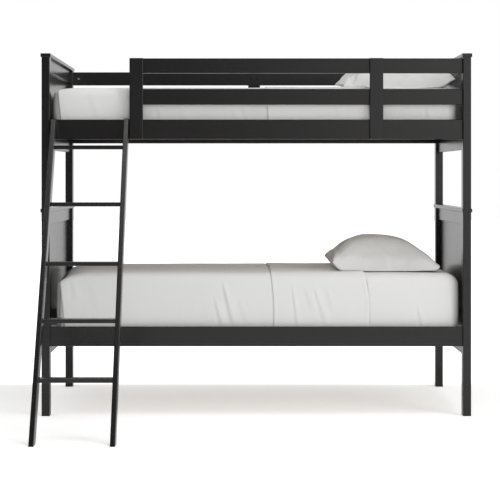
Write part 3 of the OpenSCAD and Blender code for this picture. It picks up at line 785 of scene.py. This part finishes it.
HEAD_CREASES = {
    "lower": [
        (0.752, 0.630, 0.774, 0.735, 0.007, 0.0030),
        (0.900, 0.560, 0.915, 0.760, 0.012, 0.0014),
    ],
    "upper": [
        (0.790, 0.560, 0.812, 0.660, 0.010, 0.0028),
        (0.870, 0.540, 0.900, 0.680, 0.012, 0.0014),
    ],
}
FITTED = {bed: fitted_sheet(bed, creases) for bed, creases in HEAD_CREASES.items()}

# %% [markdown]
# ## The hospital corner
# The top sheet is a flat twin sheet, tucked in at the foot and along both sides. At the foot corners
# the side hangs over the tucked end as a flap, which leaves a slanting edge on the bed's long side.
# Sewing on a second piece would do, but it is one sheet on the real bed too. So the net stays whole,
# and near that edge it is only lifted by a layer, with a pressed line beside it.

# %% Hospital corner
TWIN_FLAT = (1.676, 2.438)
LAYER = 0.0022
FLAP_SLOPE = 0.10
FLAP_FADE = (0.03, 0.40)


def hospital_corner(block, points, corner, turn, raise_by=0.0040, press=0.0030, crisp=0.004):
    """How far each point belongs to the flap, and the layer's height over the mattress there. corner
    is where the flap's edge is along the bed, and it turns under over a width of turn."""
    over, side = np.abs(block.across(points)), block.half[1]
    on_side = smooth(over, side - EDGE_BLEND, side + EDGE_BLEND)
    edge = corner + FLAP_SLOPE * (over - side).clip(0)
    flap = smooth(points[:, 0], edge - 0.0010, edge + turn) * on_side
    raised = flap * (1 - smooth(points[:, 0], edge + FLAP_FADE[0], edge + FLAP_FADE[1]))
    pressed = bell(points[:, 0] - edge + 0.0020, crisp)
    return flap, LAYER + raise_by * raised - press * pressed * on_side


print("the flap's edge leans", FLAP_SLOPE, "m along the bed for each metre down")

# %% [markdown]
# ## The cuff
# At the head the sheet is folded back over itself as a wide cuff. The net ends at the fold, and the
# rest of the cloth is added as rows of points: six roll over a soft edge, and the others come back
# over the sheet, close on it again within a hand's width. The last three make the hem's turned edge.

# %% Cuff
ROLL = [(0.0012, 0.4), (0.0030, 1.8), (0.0034, 3.3), (0.0022, 5.0), (-0.0005, 6.0), (-0.004, 6.3)]
CUFF_GAP = 0.0010


def cuff_rows(fold, hem, fine, puff, settle=0.045):
    """Rows past the fold, as places along the bed and heights over the mattress. puff is how plump
    the roll is, and settle how soon the cuff lies flat."""
    rows = [(fold + dx * puff, LAYER + puff * up / 1000) for dx, up in ROLL]
    back = graded(hem + 0.014, fold - 0.012, [f for f in fine if f[0] > hem])[::-1]
    back = np.concatenate([back, [hem + 0.004, hem + 0.001, hem]])
    soft = ROLL[-1][1] / 1000 * puff - LAYER - CUFF_GAP
    return rows + [(x, LAYER * 2 + CUFF_GAP + soft * math.exp((x - fold) / settle)) for x in back]


print("a plain cuff 0.4 m wide has", len(cuff_rows(0.5, 0.1, [], 1.3)), "rows")

# %% [markdown]
# ## Top sheets
# A hanging sheet is never quite square to the bed: the fold and the hem drift a little on their way
# down the sides, and the edge of the cuff waves. The rows of the cuff are placed with that drift and
# tied to the net's last points, and the whole sheet is then wrapped and creased in one go.

# %% Top sheet
FOOT_TUCK = 0.10
SLANT, FOLD_REACH = 0.020, 0.35
HEM_MARK, HEM_TURN, HEM_SKEW = 0.0024, 0.0012, 0.006
HEM_ROLL = (-0.012, 0.0)
EDGE_WAVES = ((0.0022, 9, 1.0), (0.0012, 23, 0.0))


def top_sheet(bed, hem, corner, fine, creases, puff=1.3, turn=0.014):
    """hem is the cuff's edge along the bed, and fine the spans where the net is closer. The others
    are for hospital_corner and cuff_rows."""
    block, fold = BLOCKS[bed], FOLDS[bed]
    tuck = (TWIN_FLAT[0] - 2 * (block.half[1] + 2 * block.half[2])) / 2

    def cover(middle, axis, side):
        inside = block.half[1] - np.abs(middle[:, 1] - block.middle[1])
        if (axis, side) == (2, 0):
            return (inside < tuck) | (middle[:, 0] - block.low[0] < FOOT_TUCK)
        return np.full(len(middle), (axis, side) != (0, 1))

    def leaning(over):
        """How far a line across the sheet drifts towards the head on its way down the sides."""
        return SLANT * smooth(np.abs(over), block.half[1] * 0.9, block.half[1] + 0.16)

    def hem_line(over):
        """Where the hem lies, a little nearer the foot at the back of the bed than at the front."""
        return hem + leaning(over) * 0.5 + HEM_SKEW * np.clip(over / block.half[1], -1, 1)

    # The net, from the foot as far as the fold
    fine = [(start, end, FINE) for start, end in fine]
    close = [(corner - 0.012, corner + 0.050, FINEST), (hem - 0.020, hem + 0.022, FINEST)]
    points, quads = sheet_net(block, fold, close + fine, cover)
    over = block.across(points)
    flap, height = hospital_corner(block, points, corner, turn)
    height -= HEM_MARK * bell(points[:, 0] - hem_line(over) + 0.002, 0.004)

    # The cuff's rows, tied to the net's last points
    rim = np.where(np.isclose(points[:, 0], fold))[0]
    rim = rim[np.argsort(over[rim])]
    out, width = over[rim], len(rim)
    x, up = np.array(cuff_rows(fold, hem, fine, puff)).T[..., None]
    share = ((fold - x) / (fold - hem)).clip(0, 1)
    cuff = np.tile(points[rim], (len(x), 1, 1))
    cuff[..., 0] = x + leaning(out) * (1 - share) + (hem_line(out) - hem) * share
    cuff[..., 0] += sum(size * np.sin(out * rate + start) for size, rate, start in EDGE_WAVES)
    lift = np.repeat(up + HEM_TURN * smooth(hem - x, *HEM_ROLL), width)
    index = np.concatenate([rim, len(points) + np.arange(len(lift))]).reshape(-1, width)
    quads = np.concatenate([quads, grid_quads(index)])
    points[:, 0] += leaning(over) * smooth(points[:, 0], fold - FOLD_REACH, fold)
    points = np.concatenate([points, cuff.reshape(-1, 3)])
    height = np.concatenate([height, lift])
    height = height + crease_height(block, points, creases)
    height = height + drift(points, seed=8, size=0.13, height=0.0009)
    flap = np.concatenate([flap, np.zeros(len(lift))])
    place = block.wrap(points, height, flap)
    piece = make_mesh(bed + "_top_sheet", place, quads, SHEET, bed + "_mattress")
    print("  tucked", round(tuck, 3), "under each side")
    return piece


print("ready to lay the top sheets")

# %% [markdown]
# ## The creases, one by one
# The creases of the two beds are listed one by one, each by its two ends, its width and its height. The
# first few of each list are the pulls that show at the front, where the sheet goes over the edge. The
# last ones, with a distance below 0, are on the wall side.

# %% Two top sheets
LAY = {
    "lower": {
        "hem": 0.067, "corner": -0.928, "fine": [(-0.22, -0.03), (0.14, 0.36)],
        "creases": [
            (-0.160, 0.525, -0.116, 0.700, 0.009, 0.005),
            (-0.198, 0.600, -0.166, 0.715, 0.008, 0.0032),
            (-0.085, 0.600, -0.050, 0.710, 0.010, 0.0014),
            (0.168, 0.550, 0.188, 0.720, 0.0065, 0.0034),
            (0.270, 0.550, 0.318, 0.705, 0.008, 0.0028),
            (0.223, 0.545, 0.256, 0.640, 0.010, 0.0018),
            (0.322, 0.550, 0.350, 0.640, 0.010, 0.0016),
            (-0.862, 0.500, -0.852, 0.590, 0.008, 0.0028),
            (-0.782, 0.530, -0.750, 0.640, 0.012, 0.0014),
            (-0.485, 0.510, -0.465, 0.610, 0.012, 0.001),
            (-0.300, -0.500, -0.350, -0.740, 0.012, 0.003),
            (0.150, -0.500, 0.090, -0.740, 0.012, 0.0028),
            (0.350, -0.500, 0.300, -0.740, 0.012, 0.0024),
        ],
    },
    "upper": {
        "hem": 0.040, "corner": -0.932, "puff": 1.9, "turn": 0.005,
        "fine": [(-0.70, -0.54), (-0.48, -0.44), (-0.14, -0.02)],
        "creases": [
            (-0.600, 0.478, -0.564, 0.545, 0.009, 0.006),
            (-0.660, 0.470, -0.600, 0.560, 0.012, 0.0036),
            (-0.790, 0.480, -0.750, 0.620, 0.011, 0.0016),
            (-0.460, 0.560, -0.455, 0.640, 0.008, 0.0018),
            (-0.360, 0.560, -0.340, 0.640, 0.010, 0.0016),
            (-0.120, 0.560, -0.095, 0.640, 0.008, 0.0016),
            (-0.065, 0.560, -0.048, 0.640, 0.008, 0.0018),
            (0.370, 0.540, 0.385, 0.640, 0.008, 0.0018),
            (-0.100, -0.480, -0.160, -0.660, 0.012, 0.0026),
            (0.260, -0.480, 0.210, -0.660, 0.012, 0.0024),
        ],
    },
}
SHEETS = {bed: top_sheet(bed, **lay) for bed, lay in LAY.items()}

# %% [markdown]
# ## Pillows
# A pillowcase is two flat panels sewn round the edge, and all of a pillow's shape comes from filling
# it: the middle swells, the sides draw in, the corners stay out as ears and the seams pucker. No
# formula gives those puckers, so the panels are cut flat and blown up by Blender's Cloth, over a
# plane that stands for the bed. The pressure stops at the volume of the filling, and the result is
# kept as a plain mesh.

# %% Cut and fill
def sewn_panels(width, length, cell, seed, gap=0.012, unevenness=0.001):
    """Two flat panels on one outline, barely apart: points, quads, and both panels as grids."""
    nx, ny = (int(round(v / cell)) for v in (width, length))
    x, y = np.meshgrid(
        np.linspace(-width / 2, width / 2, nx + 1),
        np.linspace(-length / 2, length / 2, ny + 1),
        indexing="ij",
    )
    swell = np.sqrt((1 - (2 * x / width) ** 2) * (1 - (2 * y / length) ** 2))
    draw = np.random.default_rng(seed)
    ripple = sum(
        np.sin(x * draw.normal() * 30 + y * draw.normal() * 30 + draw.uniform(0, 6)) for _ in range(4)
    )
    top = np.stack([x, y, swell * (gap + unevenness * ripple)], -1).reshape(-1, 3)
    inner = np.zeros((nx + 1, ny + 1), bool)
    inner[1:-1, 1:-1] = True
    upper = np.arange(inner.size).reshape(inner.shape)
    lower = upper.copy()
    lower[inner] = inner.size + np.arange(inner.sum())
    points = np.concatenate([top, top[inner.ravel()] * [1, 1, -1]])
    quads = np.concatenate([grid_quads(upper), grid_quads(lower)[:, ::-1]])
    return points, quads, (upper, lower)


def fill(points, quads, volume, frames):
    """The panels after Cloth has filled them to that volume, in cubic metres."""
    mesh = bpy.data.meshes.new("filling")
    mesh.from_pydata(points.tolist(), [], quads.tolist())
    case = bpy.data.objects.new("filling", mesh)
    scene.collection.objects.link(case)
    plane = flat_square("ground", 1.0, -0.03)
    plane.modifiers.new("collision", "COLLISION")
    plane.collision.thickness_outer = 0.004
    plane.collision.cloth_friction = 5
    cloth = case.modifiers.new("cloth", "CLOTH")
    facts = {
        "quality": 6, "mass": 0.25, "tension_stiffness": 150, "compression_stiffness": 150,
        "shear_stiffness": 20, "bending_stiffness": 0.3, "tension_damping": 10,
        "compression_damping": 10, "shear_damping": 10, "air_damping": 2,
        "use_pressure": True, "uniform_pressure_force": 0, "pressure_factor": 8,
        "use_pressure_volume": True, "target_volume": volume,
    }
    for key, value in facts.items():
        setattr(cloth.settings, key, value)
    cloth.settings.effector_weights.gravity = 0.04
    cloth.collision_settings.distance_min = 0.004
    cloth.point_cache.frame_end = frames
    for frame_number in range(1, frames + 1):
        scene.frame_set(frame_number)
    shape = case.evaluated_get(bpy.context.evaluated_depsgraph_get()).data
    result = np.empty(len(points) * 3)
    shape.vertices.foreach_get("co", result)
    for made in (case, plane):
        bpy.data.objects.remove(made)
    scene.frame_set(1)
    return result.reshape(-1, 3)


print("two panels of 2 by 2 cells:", sewn_panels(0.2, 0.2, 0.1, 0)[1].shape[0], "squares")

# %% [markdown]
# ## Laying the pillows down
# A case that was filled in the air is as round beneath as on top. On a bed it lies flat, and a hand
# has patted its crest into one long arch. A second simulation could drop it there, but it would not
# know about the hand. So the filled case gives the fullness and the puckers, a few numbers for each
# pillow give the arch, and at last every point is lifted clear of the sheets.

# %% Set down
EAR_PLACE, EAR_INSIDE, EAR_OUTSIDE = 0.83, 0.09, 0.12
BELLY, PUCKERS_KEPT = 0.06, 0.25
CORNER_SPAN, FULL_SPAN, EAR_SPAN, TILT_SPAN = (0.45, 0.80), (0.0, 0.5), (0.05, 0.45), (-1.0, -0.35)


def evened(field, passes=14):
    """A grid averaged with its neighbours, again and again."""
    for _ in range(passes):
        near = np.pad(field, 1, "edge")
        field = (near[:-2, 1:-1] + near[2:, 1:-1] + near[1:-1, :-2] + near[1:-1, 2:]) / 4
    return field


def arch(line, height, peak, left, right):
    """The crest's height along the pillow. left and right shape how it falls from its peak."""
    to_left = ((peak - line) / (1 + peak)).clip(0, 1)
    to_right = ((line - peak) / (1 - peak)).clip(0, 1)
    return height * (1 - to_left ** left[0]) ** left[1] * (1 - to_right ** right[0]) ** right[1]


def set_down(points, filled, panels, crest, ends, rise, ear, tilt, square):
    """The filled case laid on a bed, almost flat beneath. Its ends sit a little up from where rise
    says, the left one by tilt more at the back. Puckers are kept in the corners and softened in the
    middle. square makes the front half fuller, and ear is how deep a crease sets the front left
    corner off from the body. Places on the case go from -1 to 1, to the right and to the back."""
    upper, lower = panels
    along, across = (points[upper, a] / points[:, a].max() for a in (0, 1))
    dome = ((1 - along**2) * (1 - across**2)).clip(1e-6) ** 0.4
    share = np.pad(((filled[upper, 2] - filled[lower, 2]) / dome)[1:-1, 1:-1], 1, "edge")
    even = evened(share)
    kept = PUCKERS_KEPT + (1 - PUCKERS_KEPT) * smooth(np.abs(along * across), *CORNER_SPAN)
    thick = (even + (share - even) * kept) * dome
    thick /= (1 - across**2).clip(0.02) ** (square * smooth(-across, *FULL_SPAN))
    thick *= (crest(along[:, 0]) / thick.max(1).clip(1e-6))[:, None]
    off = along + EAR_PLACE
    crease = bell(off, np.where(off > 0, EAR_INSIDE, EAR_OUTSIDE))
    thick *= 1 - ear * smooth(-across, *EAR_SPAN) * crease
    base = BELLY * (filled[lower, 2] - filled[lower, 2].min())
    base += (ends[0] + tilt * smooth(across, *TILT_SPAN)) * smooth(-along, rise[0], 1.0)
    base += ends[1] * smooth(along, rise[1], 1.0)
    result = filled.copy()
    result[upper, 2] = base + thick
    result[lower, 2] = base
    return result


print("an arch that is highest at its middle:", arch(np.linspace(-1, 1, 5), 1, 0, (2, 1), (2, 1)))

# %% Two pillows
PANEL_CELL = 0.014
FILLING = 0.034
CREST_ABOVE, CASE_CLEAR = 0.005, 0.001


def bed_under(places, sheets, above=0.5):
    """The height of the bedding under each place, found by looking down from above it."""
    found = np.full(len(places), -1.0)
    for sheet in sheets:
        tree = BVHTree.FromPolygons(
            [v.co for v in sheet.data.vertices], [p.vertices for p in sheet.data.polygons]
        )
        for i, (x, y, z) in enumerate(places):
            hit = tree.ray_cast((x, y, z + above), (0, 0, -1))[0]
            if hit:
                found[i] = max(found[i], hit.z)
    return found


def pillow(bed, flat, seed, inset, crest, laid, frames=24):
    """flat is the case's size before filling, inset how far its ends stay inside the planned pillow;
    crest goes to arch, and laid to set_down."""
    low, high = (np.array(c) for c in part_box(bed + "_pillow"))
    height = high[2] - low[2]
    points, quads, panels = sewn_panels(*flat, PANEL_CELL, seed)
    filled = fill(points, quads, FILLING, frames)
    print(bed, "pillow filled to", np.round(filled.max(0) - filled.min(0), 3))
    shape = set_down(points, filled, panels, lambda line: arch(line, height, **crest), **laid)
    low += [inset[0], 0, 0]
    high += [-inset[1], 0, CREST_ABOVE]
    place = low + (shape - shape.min(0)) / (shape.max(0) - shape.min(0)) * (high - low)
    ground = bed_under(place, [FITTED[bed], SHEETS[bed]])
    place[:, 2] = np.maximum(place[:, 2], ground + CASE_CLEAR)
    # The case gets the darker pillow cotton, which paints shade onto the pillow.
    piece = make_mesh(bed + "_pillow_case", place, quads, SHADED_CASE, bed + "_pillow")
    smoother = piece.modifiers.new("smoother", "SUBSURF")
    smoother.levels = smoother.render_levels = 1
    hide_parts(bed + "_pillow")


PILLOWS = {
    "lower": {
        "flat": (0.55, 0.68), "seed": 5, "inset": (0.005, -0.002),
        "crest": {"peak": -0.18, "left": (2.43, 0.63), "right": (2.56, 0.73)},
        "laid": {
            "ends": (0.038, 0.022), "rise": (0.83, 0.92), "ear": 0.0, "tilt": 0.0, "square": 0.20,
        },
    },
    "upper": {
        "flat": (0.59, 0.68), "seed": 11, "inset": (0.030, -0.010),
        "crest": {"peak": -0.23, "left": (2.45, 0.90), "right": (3.8, 0.68)},
        "laid": {
            "ends": (0.002, 0.037), "rise": (0.41, 0.71), "ear": 0.85, "tilt": 0.042, "square": 0.08,
        },
    },
}
for bed, facts in PILLOWS.items():
    pillow(bed, **facts)
